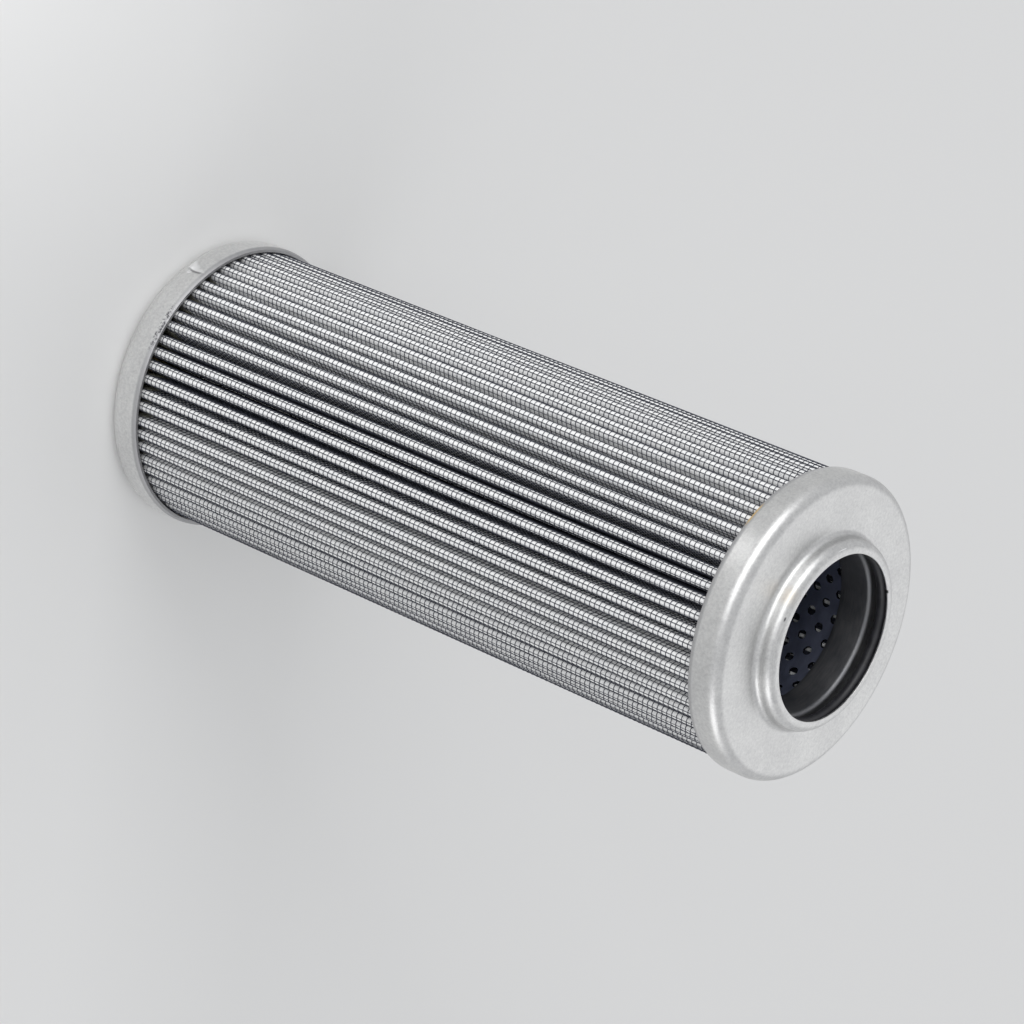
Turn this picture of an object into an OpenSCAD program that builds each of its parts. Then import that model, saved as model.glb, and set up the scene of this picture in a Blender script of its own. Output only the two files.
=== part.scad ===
// Pleated filter element for a high-pressure hydraulic housing.
// It stands on its closed end. +Z runs along the axis to the open end, and
// the origin is the middle of the closed end's flat face.

/* [Overall] */
// Height over everything, from the closed end's flat face to the top of the collar
overall_h = 209.4; // [120:0.1:420]
// Outside diameter of both end caps
cap_d = 78; // [76:0.1:90]

/* [End caps] */
// Thickness of the sheet that both end caps are pressed from
sheet_t = 0.6; // [0.5:0.05:0.8]
// Depth of the open cap's skirt below its flat face
open_skirt_h = 8.8; // [7:0.1:16]
// Outside radius of the open cap's shoulder
open_shoulder_r = 3.1; // [1.5:0.1:4]
// How far the edge of each cap's skirt is curled in
curl_in = 0.5; // [0.2:0.05:0.7]
// Height of the curled stretch of that edge
curl_h = 1.8; // [1:0.1:2.5]
// Depth of the closed cap's skirt above its flat face
closed_skirt_h = 10.3; // [8:0.1:18]
// Outside radius of the closed cap's shoulder
closed_shoulder_r = 4.6; // [2:0.1:6]

/* [Dent in the closed cap] */
// Width of the creased dent across the skirt
dent_w = 2.6; // [1:0.1:4]
// Depth of the dent at its deepest
dent_depth = 0.35; // [0.1:0.05:0.4]
// Place of the dent round the skirt, as an angle from +X
dent_a = -51; // [-180:1:180]

/* [Collar] */
// Height of the collar above the open cap's flat face
collar_h = 4.75; // [4.5:0.05:7]
// Outside radius of the bend at the collar's top
collar_top_r = 2.5; // [1.5:0.1:2.6]
// Outside radius of the bend at the collar's foot
collar_foot_r = 1.6; // [0.8:0.1:1.8]

/* [Spigot bore] */
// Diameter of the bore that the housing's spigot enters
bore_d = 42.5; // [38:0.1:44]

/* [Seal ring] */
// Diameter of the seal ring's round section
seal_section = 2.8; // [2.4:0.1:3.2]
// How far the seal ring stands out into the bore
seal_bite = 0.2; // [0.05:0.05:0.25]
// Play between the seal ring and its groove
seal_play = 0.05; // [0.03:0.01:0.2]

/* [Seal retainer] */
// Thickness of the retainer's sheet
retainer_t = 0.6; // [0.5:0.05:0.9]
// Outside radius of the rounded mouth that the seal ring rests over
retainer_mouth_r = 1.2; // [1:0.1:2]
// Depth of the retainer's wall below the open cap's flat face
retainer_depth = 9.4; // [6:0.1:14]
// How far the retainer's flange reaches under the flat face, past the collar's foot
retainer_flange_w = 3; // [1.5:0.1:5]

/* [Core tube] */
// Wall of the perforated core tube
core_wall = 0.8; // [0.6:0.05:1.2]
// Diameter of one perforation
hole_d = 2.4; // [1.6:0.1:3]
// Perforations in one ring round the tube
holes_per_ring = 22; // [12:1:24]
// Distance from one ring of perforations to the next
ring_step = 3.5; // [3.2:0.1:6]
// Rings of perforations below the open mouth
ring_count = 5; // [1:1:5]
// Depth of the first ring of perforations below the open cap's flat face
first_ring_depth = 10.3; // [6:0.1:20]
// Place of one perforation of the first ring round the tube, as an angle from +X
first_hole_a = -2.8; // [-8:0.1:8]

/* [Pleat pack] */
// Clear radius inside a pleat's tip, between its two legs
tip_inner_r = 0.27; // [0.2:0.01:0.5]
// Radius of the outermost face where it folds back at a root
root_outer_r = 0.15; // [0.1:0.01:0.3]
// Least clear space between the two legs of a pleat, at the root
leg_gap = 0.15; // [0.1:0.01:0.4]
// Place of the first pleat's tip round the pack, as an angle from +X
first_tip_a = -1.6; // [-3:0.1:3]
// How far the tips wander to either side of an even spacing
tip_wander = 0.25; // [0:0.05:0.35]
// Space between the pleat pack and the core tube, and between it and the curled skirt
pack_gap = 0.15; // [0.1:0.05:0.5]

/* [Pleated layers] */
// Thickness of the outer wire mesh between its ridges
outer_mesh_t = 0.25; // [0.2:0.01:0.35]
// Thickness of each of the two fleeces that the fibre lies between
fleece_t = 0.1; // [0.08:0.01:0.2]
// Thickness of the glass fibre layer
fibre_t = 0.3; // [0.2:0.01:0.45]
// Thickness of the inner wire mesh
inner_mesh_t = 0.2; // [0.15:0.01:0.35]
// Space between neighbouring layers
layer_gap = 0.02; // [0.01:0.01:0.05]
// Distance between the outer mesh's lengthwise wires
wire_pitch = 1.4; // [1.1:0.05:1.6]
// Width of a lengthwise wire
wire_d = 0.3; // [0.2:0.01:0.4]
// Height of a lengthwise wire above the mesh
wire_rise = 0.12; // [0.05:0.01:0.13]

/* [Adhesive beds] */
// Depth of the adhesive that the pleats and the core stand in
bed_h = 4; // [3:0.1:6]
// Adhesive between the ends of the pleats and the cap or the retainer
bed_floor = 0.8; // [0.4:0.1:1.5]
// Space left round the adhesive
bed_gap = 0.04; // [0.02:0.01:0.1]

/* [Hidden] */
$fn = 96;

steel = "gainsboro";
cap_r = cap_d / 2;
face_z = overall_h - collar_h;

// The collar follows from the bore and the seal ring that it holds
bore_r = bore_d / 2;
groove_r = bore_r - seal_bite + seal_section + seal_play;
collar_r = groove_r + sheet_t;
seal_r = bore_r - seal_bite + seal_section / 2;
seal_up = min(collar_h - collar_top_r, collar_h - sheet_t - seal_section / 2 - seal_play);
flange_r = collar_r + collar_foot_r + retainer_flange_w;

// The core stands on the closed cap and carries the retainer's flange
core_in_r = bore_r + retainer_mouth_r;
core_out_r = core_in_r + core_wall;
core_bottom = sheet_t;
core_top = face_z - sheet_t - retainer_t;

// Offsets of the pleated layers, counted inwards from the outermost face
outer_fleece_at = outer_mesh_t + layer_gap;
fibre_at = outer_fleece_at + fleece_t + layer_gap;
inner_fleece_at = fibre_at + fibre_t + layer_gap;
inner_mesh_at = inner_fleece_at + fleece_t + layer_gap;
pack_t = inner_mesh_at + inner_mesh_t;

// Circles on which the folds at the tips and at the roots are centred
tip_outer_r = tip_inner_r + pack_t;
tip_reach = cap_r - sheet_t - curl_in - pack_gap - wire_rise;
tip_c_r = tip_reach - tip_outer_r;
root_c_r = core_out_r + pack_gap + pack_t + root_outer_r;
pleat_count = floor(2 * PI * root_c_r / (2 * (pack_t + root_outer_r) + leg_gap));
wander_a = tip_wander / tip_c_r * 180 / PI;
wander_turn = 137.5;
fold_sum = tip_outer_r + root_outer_r;
tip_steps = 6;
root_steps = 4;
through = 1;

// The pack's ends stand clear of the bed floors and of the caps' bends at the tips
function bend_clear(shoulder_r) =
    shoulder_r - sqrt(pow(shoulder_r - sheet_t, 2) - pow(shoulder_r - sheet_t - curl_in, 2));
pack_bottom = max(sheet_t + bed_floor, bend_clear(closed_shoulder_r));
pack_top = face_z - max(sheet_t + retainer_t + bed_floor, bend_clear(open_shoulder_r));

function polar(r, a) = [r * cos(a), r * sin(a)];
function tip_a(i) = first_tip_a + 360 * i / pleat_count + wander_a * sin(wander_turn * i);
function root_a(i) = first_tip_a + 360 * (i + 0.5) / pleat_count;

// Directions of the leg that runs in from tip a to root b, and out from root b to tip a
function leg_in(a, b) = atan2(b[1] - a[1], b[0] - a[0]) + asin(fold_sum / norm(b - a));
function leg_out(b, a) = atan2(a[1] - b[1], a[0] - b[0]) - asin(fold_sum / norm(a - b));

function tip_start(i) =
    leg_out(polar(root_c_r, root_a(i - 1) - tip_a(i)), [tip_c_r, 0]) - 90;
function tip_end(i) =
    leg_in([tip_c_r, 0], polar(root_c_r, root_a(i) - tip_a(i))) - 90;
function root_start(i) =
    leg_in(polar(tip_c_r, tip_a(i) - root_a(i)), [root_c_r, 0]) + 90;
function root_end(i) =
    leg_out([root_c_r, 0], polar(tip_c_r, tip_a(i + 1) - root_a(i))) + 90;

// A point at radius r and direction a round the fold centre (c_r, 0), turned by t
function fold_point(c_r, r, a, t) =
    [c_r * cos(t) + r * cos(a + t), c_r * sin(t) + r * sin(a + t)];

function plain_tip(i, d) =
    [for (k = [0:tip_steps])
        fold_point(tip_c_r, tip_outer_r - d,
                   tip_start(i) + (tip_end(i) - tip_start(i)) * k / tip_steps, tip_a(i))];

function root(i, d) =
    [for (k = [0:root_steps])
        fold_point(root_c_r, root_outer_r + d,
                   root_start(i) + (root_end(i) - root_start(i)) * k / root_steps, root_a(i))];

// The outermost face at a tip, with three lengthwise wires as ridges, and room all over it
wire_turn = wire_pitch / tip_outer_r * 180 / PI;
wire_half = wire_d / tip_outer_r * 90 / PI;
function wired_tip(i, room) =
    [each [fold_point(tip_c_r, tip_outer_r + room, tip_start(i), tip_a(i))],
     for (w = [-wire_turn, 0, wire_turn])
         each [for (s = [[-1, 0], [-0.5, 1], [0.5, 1], [1, 0]])
             fold_point(tip_c_r, tip_outer_r + room + wire_rise * s[1],
                        w + wire_half * s[0] + sign(s[0]) * room / tip_outer_r * 180 / PI, tip_a(i))],
     each [fold_point(tip_c_r, tip_outer_r + room, tip_end(i), tip_a(i))]];

// The closed outline of the pleat pack at offset d from its outermost face
function pleats(d) = [for (i = [0:pleat_count - 1]) each concat(plain_tip(i, d), root(i, d))];
function wired_pleats(room = 0) =
    [for (i = [0:pleat_count - 1]) each concat(wired_tip(i, room), root(i, -room))];

// One pleated layer of thickness t whose outer face lies at offset d
module pleated_layer(d, t) {
    translate([0, 0, pack_bottom])
        linear_extrude(height = pack_top - pack_bottom)
            difference() {
                polygon(pleats(d));
                polygon(pleats(d + t));
            }
}

// A quarter of a bent sheet: centre c, outside radius r, in the quadrant towards q
module bend(c, r, q, t = sheet_t) {
    translate(c)
        intersection() {
            difference() {
                circle(r);
                circle(r - t);
            }
            scale([q[0], q[1]]) square(r + through);
        }
}

// A sheet cup seen in section, opening upwards from its flat face at height 0
module cup_section(shoulder_r, wall_top, hole_r) {
    translate([hole_r, 0]) square([cap_r - shoulder_r - hole_r, sheet_t]);
    bend([cap_r - shoulder_r, shoulder_r], shoulder_r, [1, -1]);
    translate([cap_r - sheet_t, shoulder_r]) square([sheet_t, wall_top - shoulder_r]);
}

// The large bend that turns a skirt's edge in by curl_in over curl_h
curl_r = (curl_h * curl_h + curl_in * curl_in) / (2 * curl_in);
module curl_section(skirt_h) {
    translate([cap_r - curl_r, skirt_h - curl_h])
        intersection() {
            difference() {
                circle(curl_r);
                circle(curl_r - sheet_t);
            }
            square([curl_r, curl_h]);
        }
}

module closed_end_cap() {
    color(steel)
        difference() {
            rotate_extrude() {
                cup_section(closed_shoulder_r, closed_skirt_h - curl_h, 0);
                curl_section(closed_skirt_h);
            }
            rotate([0, 0, dent_a])
                translate([cap_r - dent_depth, 0, closed_shoulder_r / 2])
                    linear_extrude(height = closed_skirt_h)
                        polygon([[0, 0], [2 * dent_depth, dent_w], [2 * dent_depth, -dent_w]]);
        }
}

module collar_section() {
    translate([collar_r + collar_foot_r, 0])
        square([through, sheet_t]);
    bend([collar_r + collar_foot_r, -collar_foot_r], collar_foot_r + sheet_t, [-1, 1]);
    translate([groove_r, -collar_h + collar_top_r])
        square([sheet_t, collar_h - collar_top_r - collar_foot_r]);
    bend([collar_r - collar_top_r, -collar_h + collar_top_r], collar_top_r, [1, -1]);
    translate([bore_r, -collar_h])
        square([collar_r - collar_top_r - bore_r, sheet_t]);
}

module open_end_cap() {
    color(steel)
        translate([0, 0, face_z])
            mirror([0, 0, 1])
                rotate_extrude() {
                    cup_section(open_shoulder_r, open_skirt_h - curl_h, collar_r + collar_foot_r);
                    curl_section(open_skirt_h);
                    collar_section();
                }
}

module seal_ring() {
    color("#202225")
        translate([0, 0, face_z + seal_up])
            rotate_extrude()
                translate([seal_r, 0]) circle(d = seal_section);
}

module seal_retainer() {
    color("silver")
        translate([0, 0, face_z - sheet_t])
            rotate_extrude() {
                translate([core_in_r, -retainer_t])
                    square([flange_r - core_in_r, retainer_t]);
                bend([core_in_r, -retainer_mouth_r], retainer_mouth_r, [-1, 1], retainer_t);
                translate([bore_r, sheet_t - retainer_depth])
                    square([retainer_t, retainer_depth - sheet_t - retainer_mouth_r]);
            }
}

module perforations() {
    for (ring = [0:ring_count - 1], k = [0:holes_per_ring - 1])
        rotate([0, 0, first_hole_a + 360 * (k + (ring % 2) / 2) / holes_per_ring])
            translate([core_in_r - through, 0, face_z - first_ring_depth - ring * ring_step])
                rotate([0, 90, 0])
                    cylinder(d = hole_d, h = core_wall + 2 * through, $fn = 24);
}

module core_tube() {
    color("slategray")
        difference() {
            translate([0, 0, core_bottom])
                linear_extrude(height = core_top - core_bottom)
                    difference() {
                        circle(core_out_r);
                        circle(core_in_r);
                    }
            perforations();
        }
}

module outer_wire_mesh() {
    color("dimgray")
        translate([0, 0, pack_bottom])
            linear_extrude(height = pack_top - pack_bottom)
                difference() {
                    polygon(wired_pleats());
                    polygon(pleats(outer_mesh_t));
                }
}

module outer_fleece() {
    color("whitesmoke") pleated_layer(outer_fleece_at, fleece_t);
}

module glass_fibre_layer() {
    color("ivory") pleated_layer(fibre_at, fibre_t);
}

module inner_fleece() {
    color("white") pleated_layer(inner_fleece_at, fleece_t);
}

module inner_wire_mesh() {
    color("gray") pleated_layer(inner_mesh_at, inner_mesh_t);
}

// The slot that the pleats' ends leave in an adhesive bed, from height 0 up
module pleat_slot() {
    linear_extrude(height = bed_h + through)
        difference() {
            polygon(wired_pleats(bed_gap));
            polygon(pleats(pack_t + bed_gap));
        }
}

// The inside of a cup in section, with bed_gap left at its shoulder and wall
module bed_section(shoulder_r, in_r) {
    translate([in_r, sheet_t])
        square([cap_r - shoulder_r - in_r, bed_h]);
    intersection() {
        translate([cap_r - shoulder_r, shoulder_r]) circle(shoulder_r - sheet_t - bed_gap);
        translate([cap_r - shoulder_r, 0]) square([shoulder_r, min(shoulder_r, sheet_t + bed_h)]);
    }
    if (sheet_t + bed_h > shoulder_r)
        translate([cap_r - shoulder_r, shoulder_r])
            square([shoulder_r - sheet_t - bed_gap, sheet_t + bed_h - shoulder_r]);
}

module closed_end_adhesive() {
    color("wheat")
        difference() {
            rotate_extrude() bed_section(closed_shoulder_r, core_out_r + bed_gap);
            translate([0, 0, pack_bottom]) pleat_slot();
        }
}

module open_end_adhesive() {
    color("wheat")
        translate([0, 0, face_z])
            mirror([0, 0, 1])
                difference() {
                    rotate_extrude()
                        difference() {
                            bed_section(open_shoulder_r, core_out_r + bed_gap);
                            square([flange_r + bed_gap, sheet_t + retainer_t]);
                        }
                    translate([0, 0, face_z - pack_top])
                        pleat_slot();
                }
}

closed_end_cap();
open_end_cap();
seal_ring();
seal_retainer();
core_tube();
outer_wire_mesh();
outer_fleece();
glass_fibre_layer();
inner_fleece();
inner_wire_mesh();
closed_end_adhesive();
open_end_adhesive();
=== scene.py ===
# %% [markdown]
# # A pleated hydraulic filter element
#
# The object is a filter element as it comes out of its housing: two pressed steel caps, a seal ring in the
# collar of the open cap, a perforated core, and a pack of pleats covered with fine woven wire. The solids
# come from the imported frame, where each has its real size and place. This script gives every surface its
# finish, and makes again those pieces whose look needs a finer mesh than a solid model carries.

# %% Load the frame
import math

import bmesh
import bpy
import numpy as np
from mathutils import Matrix, Vector


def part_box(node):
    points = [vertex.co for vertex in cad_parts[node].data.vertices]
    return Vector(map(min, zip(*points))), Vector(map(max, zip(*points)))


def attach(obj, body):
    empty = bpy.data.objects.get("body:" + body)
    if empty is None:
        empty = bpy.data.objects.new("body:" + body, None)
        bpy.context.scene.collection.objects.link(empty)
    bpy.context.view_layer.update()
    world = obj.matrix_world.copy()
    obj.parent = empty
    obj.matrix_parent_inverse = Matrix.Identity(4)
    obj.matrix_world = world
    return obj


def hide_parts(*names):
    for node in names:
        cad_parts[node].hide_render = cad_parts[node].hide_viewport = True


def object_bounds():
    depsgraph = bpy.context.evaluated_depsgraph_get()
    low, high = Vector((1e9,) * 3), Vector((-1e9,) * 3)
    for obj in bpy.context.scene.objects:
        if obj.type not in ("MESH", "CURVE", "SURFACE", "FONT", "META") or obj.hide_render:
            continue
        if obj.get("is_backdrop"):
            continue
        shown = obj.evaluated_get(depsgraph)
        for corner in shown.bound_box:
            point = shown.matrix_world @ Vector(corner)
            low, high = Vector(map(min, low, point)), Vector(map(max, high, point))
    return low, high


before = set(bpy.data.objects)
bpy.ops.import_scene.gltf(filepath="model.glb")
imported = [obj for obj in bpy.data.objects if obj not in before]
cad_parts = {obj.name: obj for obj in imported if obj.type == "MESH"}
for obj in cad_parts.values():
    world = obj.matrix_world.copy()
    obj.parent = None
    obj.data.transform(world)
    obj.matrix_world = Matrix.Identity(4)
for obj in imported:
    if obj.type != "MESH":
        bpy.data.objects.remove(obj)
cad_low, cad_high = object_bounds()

MM = 0.001
print("solids:", ", ".join(sorted(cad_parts)))

# %% [markdown]
# ## Sizes
#
# Sizes that a solid's box can tell are read from the frame, so they can never disagree with it. The rest,
# such as the radius of a bend, can't be read off a box. They are written once, in metres, by the piece that
# needs them first. Their names are close to the solid model's, and a diameter there is often a radius here.

# %% The sizes that all pieces share
closed_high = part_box("closed_end_cap")[1]
open_low, open_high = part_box("open_end_cap")
core_low, core_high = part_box("core_tube")
pack_low, pack_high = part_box("outer_wire_mesh")
seal_low, seal_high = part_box("seal_ring")
retainer_low, retainer_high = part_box("seal_retainer")

SHEET = 0.6 * MM
CAP_R = open_high.x
COLLAR_H = 4.75 * MM
FACE_Z = open_high.z - COLLAR_H
OPEN_SKIRT_H = FACE_Z - open_low.z
CLOSED_SKIRT_H = closed_high.z
BORE_R = 21.25 * MM
SEAL_R = (seal_high.z - seal_low.z) / 2
SEAL_BITE = 0.2 * MM
GROOVE_R = seal_high.x + 0.05 * MM
COLLAR_R = GROOVE_R + SHEET
CORE_OUT_R = core_high.x
CORE_WALL = 0.8 * MM
CORE_IN_R = CORE_OUT_R - CORE_WALL
print(f"cap radius {CAP_R / MM:.2f} mm, flat face at {FACE_Z / MM:.2f} mm")

# %% [markdown]
# ## Camera
#
# The photograph was taken with a long lens from about a metre away, so the element's far end is hardly
# smaller than its near end. It was photographed lying on its side. Here it stands on its closed end, as such
# a part does on a shelf, and the camera is turned about its own line of sight until the element lies across
# the picture as it does in the photograph.

# %% Place the camera
CAMERA_AT = Vector((795.5, -192.9, 691.6)) * MM
CAMERA_RIGHT = Vector((-0.61195, -0.25075, 0.75010))
CAMERA_UP = Vector((0.0, -0.94841, -0.31704))
LENS_MM = 139.75

camera_data = bpy.data.cameras.new("camera")
camera_data.lens = LENS_MM
camera_data.sensor_width = 36.0
camera_data.clip_start = 0.05
camera_data.clip_end = 20.0
camera = bpy.data.objects.new("camera", camera_data)
bpy.context.scene.collection.objects.link(camera)
turn = Matrix((CAMERA_RIGHT, CAMERA_UP, CAMERA_RIGHT.cross(CAMERA_UP))).transposed()
camera.matrix_world = Matrix.Translation(CAMERA_AT) @ turn.to_4x4()
bpy.context.scene.camera = camera
print(f"the camera stands {CAMERA_AT.length:.2f} m from the element's foot")

# %% [markdown]
# ## Helpers that add nodes
#
# Every finish and every Geometry Nodes tree below is a chain of nodes. Adding each by hand takes three or
# four lines: make it, set its properties, fill or link its sockets. `node` does all that in one call, and
# `maths` does it for the Math node, the most used of all. So a chain stays as short to read as its idea.

# %% Node helpers
def feed(tree, socket, value):
    """Link a socket's result into another, or fill it with a number."""
    if isinstance(value, bpy.types.NodeSocket):
        tree.links.new(value, socket)
    else:
        socket.default_value = value


def node(tree, kind, **settings):
    """Add a node. A setting is a property, an input socket's name, or in0, in1 ... for a socket's number."""
    made = tree.nodes.new(kind)
    for key, value in settings.items():
        name = key.replace("_", " ")
        if hasattr(made, key) and key not in ("inputs", "color"):
            setattr(made, key, value)
            continue
        numbered = key.startswith("in") and key[2:].isdigit()
        feed(tree, made.inputs[int(key[2:])] if numbered else made.inputs[name], value)
    return made


def maths(tree, operation, *values):
    """One Math node, and its result."""
    made = tree.nodes.new("ShaderNodeMath")
    made.operation = operation
    for socket, value in zip(made.inputs, values):
        feed(tree, socket, value)
    return made.outputs[0]


def plus(tree, first, second):
    return maths(tree, "ADD", first, second)


def minus(tree, first, second):
    return maths(tree, "SUBTRACT", first, second)


def times(tree, first, second):
    return maths(tree, "MULTIPLY", first, second)


def xyz(tree, vector):
    """The three parts of a vector."""
    split = tree.nodes.new("ShaderNodeSeparateXYZ")
    tree.links.new(vector, split.inputs[0])
    return split.outputs


# %% [markdown]
# ## Helpers for finishes
#
# A finish starts with a material and its main shader. Its colours come from a Color Ramp over some noise, and
# its relief from a Bump node, which turns the light a little as real grain does, without any more faces.
# `blend` lays a second colour over the first by a share from 0 to 1.

# %% Colour and relief helpers
def finish(name):
    """A new material with its node tree and its main shader."""
    material = bpy.data.materials.new(name)
    material.use_nodes = True
    tree = material.node_tree
    shader = tree.nodes["Principled BSDF"]
    return material, tree, shader


def ramp(tree, factor, stops):
    """A Color Ramp through (place, colour) stops."""
    made = tree.nodes.new("ShaderNodeValToRGB")
    tree.links.new(factor, made.inputs[0])
    for end, (place, colour) in zip(made.color_ramp.elements, stops):
        end.position = place
        end.color = (*colour, 1)
    return made.outputs[0]


def noise(tree, place, scale, detail, roughness=0.5):
    made = node(tree, "ShaderNodeTexNoise", Vector=place, Scale=scale, Detail=detail, Roughness=roughness)
    return made.outputs[0]


def blend(tree, share, below, above):
    """Mix a colour or a socket with a colour, by a share from 0 to 1."""
    made = node(tree, "ShaderNodeMix", data_type="RGBA", in0=share)
    for socket, value in ((made.inputs[6], below), (made.inputs[7], above)):
        feed(tree, socket, (*value, 1) if isinstance(value, tuple) else value)
    return made.outputs[2]


def bump(tree, shader, height, strength, distance):
    """Roughen a shader's surface by a height, over a distance in metres."""
    made = tree.nodes.new("ShaderNodeBump")
    made.inputs["Strength"].default_value = strength
    made.inputs["Distance"].default_value = distance
    tree.links.new(height, made.inputs["Height"])
    tree.links.new(made.outputs[0], shader.inputs["Normal"])


# %% [markdown]
# ## Helpers for places on the element
#
# Everything here is round, so a place on it is best told by its radius, its angle and its height. `around`
# works these out from Object coordinates, which stay fixed to the piece however the camera moves. `near` and
# `spot` make a soft patch at such a place, which is how a scratch, residue, a painted highlight or a painted
# shade gets its place on the piece.

# %% Place helpers
def around(tree):
    """Object coordinates, with the radius and the angle round the element's axis, and the height."""
    place = tree.nodes.new("ShaderNodeTexCoord").outputs["Object"]
    x, y, z = xyz(tree, place)
    radius = maths(tree, "SQRT", plus(tree, times(tree, x, x), times(tree, y, y)))
    return place, radius, maths(tree, "ARCTAN2", y, x), z


def near(tree, value, centre, reach, edge=1.0):
    """1 at the centre and 0 at reach away. A larger edge makes the middle flat and the sides steep."""
    away = maths(tree, "ABSOLUTE", minus(tree, value, centre))
    made = maths(tree, "MULTIPLY_ADD", away, -edge / reach, edge)
    made.node.use_clamp = True
    return made


def spot(tree, angle, degrees, wide, height, z, tall, edge=1.5):
    """A patch at an angle and a height on a skirt or the collar, some degrees wide and some metres tall."""
    return times(tree, near(tree, angle, math.radians(degrees), math.radians(wide), edge),
                 near(tree, height, z, tall, edge))


def round_streaks(tree, angle, radius, height, turns, fine_r, fine_z, detail):
    """Noise that is stretched along the turning direction."""
    ring = node(tree, "ShaderNodeCombineXYZ", in0=times(tree, angle, turns),
                in1=times(tree, radius, fine_r), in2=times(tree, height, fine_z)).outputs[0]
    return noise(tree, ring, 1.0, detail)


# %% [markdown]
# ## Zinc-plated sheet
#
# Both caps are pressed from steel sheet and plated with zinc. The plating is satin: bright, yet so finely
# grained that it mirrors nothing sharply. A plain grey metal would look like plastic here, so a fine noise
# moves tone, roughness and relief together. The turned bends of the collar also carry faint streaks that run
# round the axis. Each cap then takes a list of marks, and a mark is a share, a tint and a roughness.

# %% Plated sheet
GRAIN_SCALE = 1250.0
CLOUD_SCALE = 90.0
PLATED_ROUGH = 0.40


def plated_sheet(name, marks, dark, light):
    material, tree, shader = finish(name)
    place, radius, angle, height = around(tree)
    grain = noise(tree, place, GRAIN_SCALE, 4.0, 0.75)
    cloud = noise(tree, place, CLOUD_SCALE, 4.0, 0.6)
    streaks = round_streaks(tree, angle, radius, height, 9.0, 2400.0, 2400.0, 3.0)
    on_collar = maths(tree, "GREATER_THAN", height, FACE_Z + 0.5 * MM)
    streaks = maths(tree, "MULTIPLY_ADD", minus(tree, streaks, 0.5), on_collar, 0.5)
    tone = plus(tree, times(tree, grain, 0.50), times(tree, cloud, 0.25))
    tone = plus(tree, tone, times(tree, streaks, 0.25))
    colour = ramp(tree, tone, [(0.38, dark), (0.62, light)])
    rough = maths(tree, "MULTIPLY_ADD", tone, 0.24, 0.28)
    relief = maths(tree, "MULTIPLY_ADD", streaks, 0.4, grain)
    for share, tint, roughness in marks(tree, radius, angle, height, grain):
        colour = blend(tree, share, colour, tint)
        rough = plus(tree, rough, times(tree, share, roughness - PLATED_ROUGH))
    tree.links.new(colour, shader.inputs["Base Color"])
    shader.inputs["Metallic"].default_value = 1.0
    tree.links.new(rough, shader.inputs["Roughness"])
    bump(tree, shader, relief, 0.6, 0.05 * MM)
    print(f"{name}: {len(tree.nodes)} nodes")
    return material


# %% [markdown]
# ## Marks of the open cap
#
# The open cap has been handled. Its curled edge is dull, and at one place along it lies a painted warm
# reflection.
# On the collar are a painted warm reflection on its highlight, a dark smudge and a bright scratch, and the
# bore's rim has a nick, painted dark as painted shade. Each could be painted on an image, but a patch of
# another tone, at its own angle and height, stays sharp at any distance.

# %% Open cap's marks
def open_cap_marks(tree, radius, angle, height, grain):
    rim, edge = FACE_Z + COLLAR_H, FACE_Z - OPEN_SKIRT_H
    curl = near(tree, height, edge, 1.5 * MM, 2.5)
    # A painted warm reflection along the curled edge.
    edge_warm_reflection = spot(tree, angle, -44.0, 6.0, height, edge, 0.9 * MM, 2.0)
    # A painted warm reflection on the collar's highlight.
    collar_warm_reflection = spot(tree, angle, -25.5, 7.0, height, rim - 1.9 * MM, 2.2 * MM)
    smudge = spot(tree, angle, -12.6, 1.6, height, rim - 0.45 * MM, 0.16 * MM)
    scratch = spot(tree, angle, -73.5, 4.5, height, rim - 0.30 * MM, 0.07 * MM, 2.0)
    # The nick is painted dark: painted shade in an unmodelled notch.
    nick_shade = times(tree, near(tree, angle, math.radians(-147.6), math.radians(1.5), 2.5),
                 near(tree, radius, BORE_R, 0.35 * MM, 3.0))
    return ((times(tree, curl, 0.6), (0.38, 0.38, 0.39), 0.60),
            (edge_warm_reflection, (0.72, 0.54, 0.28), 0.40),
            (times(tree, collar_warm_reflection, 0.45), (0.62, 0.54, 0.44), 0.40),
            (smudge, (0.12, 0.12, 0.13), 0.60),
            (scratch, (0.95, 0.95, 0.95), 0.30),
            (nick_shade, (0.06, 0.06, 0.06), 0.60))


plated_open = plated_sheet("zinc_plated_open_cap", open_cap_marks, (0.52, 0.52, 0.52), (0.72, 0.72, 0.71))

# %% [markdown]
# ## Marks of the closed cap
#
# The closed cap's marks belong to its dent and to its edge. In the dent a painted highlight lights a triangle
# on the wide side, a painted shade runs along the crease and a small painted highlight sits beside the
# crease's start.
# The curled edge is duller than the skirt, and along part of it the plating is speckled with residue. The
# dent's own form is made later, in the mesh, and these marks use the same sizes, so that both stay together.

# %% Closed cap's marks
DENT_A = math.radians(-51.5)
DENT_WIDE = 2.6 * MM
DENT_FROM, DENT_FULL, DENT_TO = 4.4 * MM, 5.2 * MM, 9.8 * MM


def painted_facet_highlight(tree, radius, away, height, grain):
    """A painted highlight: a triangle with a grainy slanting edge, on the dent's wide side of the skirt's
    outer face.
    """
    across = times(tree, away, -1.0 / DENT_WIDE)
    up = maths(tree, "DIVIDE", minus(tree, height, DENT_FULL), DENT_TO - DENT_FULL)
    facet = minus(tree, plus(tree, 0.75, times(tree, grain, 0.6)), across)
    facet = times(tree, minus(tree, facet, up), 2.5)
    facet.node.use_clamp = True
    for value, limit in ((across, 0.05), (radius, CAP_R - 1.2 * MM), (height, DENT_FROM - 1.0 * MM)):
        facet = times(tree, facet, maths(tree, "GREATER_THAN", value, limit))
    return facet


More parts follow.
